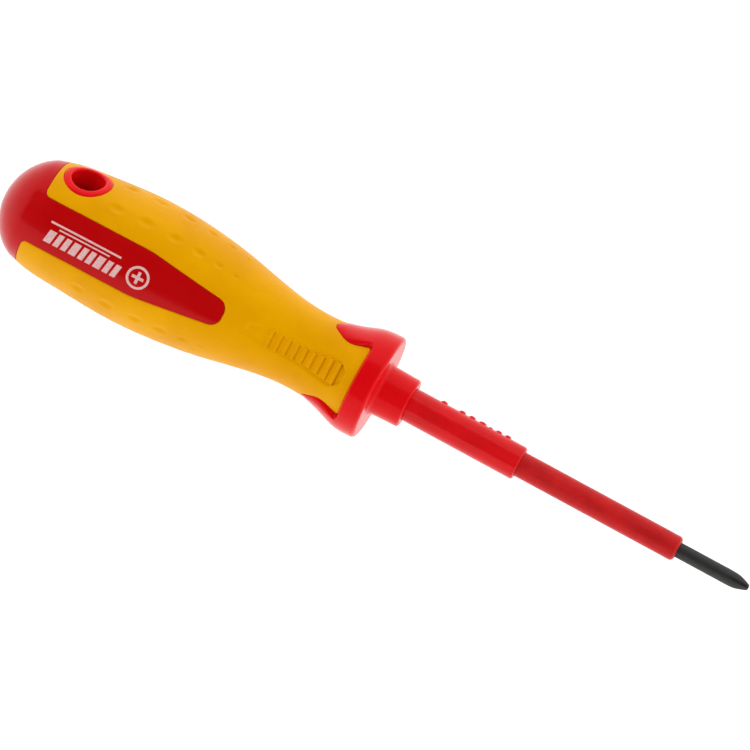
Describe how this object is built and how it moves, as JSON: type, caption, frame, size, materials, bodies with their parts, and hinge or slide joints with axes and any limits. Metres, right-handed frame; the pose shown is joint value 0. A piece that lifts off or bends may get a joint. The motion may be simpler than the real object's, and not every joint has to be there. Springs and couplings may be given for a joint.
{
  "type": "insulated screwdriver",
  "caption": "Small cross-recess insulated screwdriver with a red and yellow waisted handle, hang hole, finger guard and stepped red sleeves over a dark steel blade.",
  "frame": {"origin": "the point where the blade axis meets the small flat on the butt end of the handle (the flat's own middle lies 1.2 mm off the axis)", "axes": "+X along the blade axis towards the tip, +Z out of the ringed mouth of the hang hole, +Y by the right-hand rule"},
  "size_m": [0.1643, 0.026, 0.026],
  "materials": {
    "blade_steel": "black oxide, satin, slightly bright on the worn point edges",
    "thin_insulation": "satin extruded plastic tube",
    "thick_insulation": "semi-gloss moulded plastic",
    "handle_plastic": "glossy moulded plastic",
    "grip_rubber": "smooth satin thermoplastic elastomer"
  },
  "bodies": {
    "root": {"blade": "blade_steel", "thin_sleeve": "thin_insulation", "step_sleeve": "thick_insulation", "handle_body": "handle_plastic", "soft_grip": "grip_rubber"}
  },
  "joints": []
}
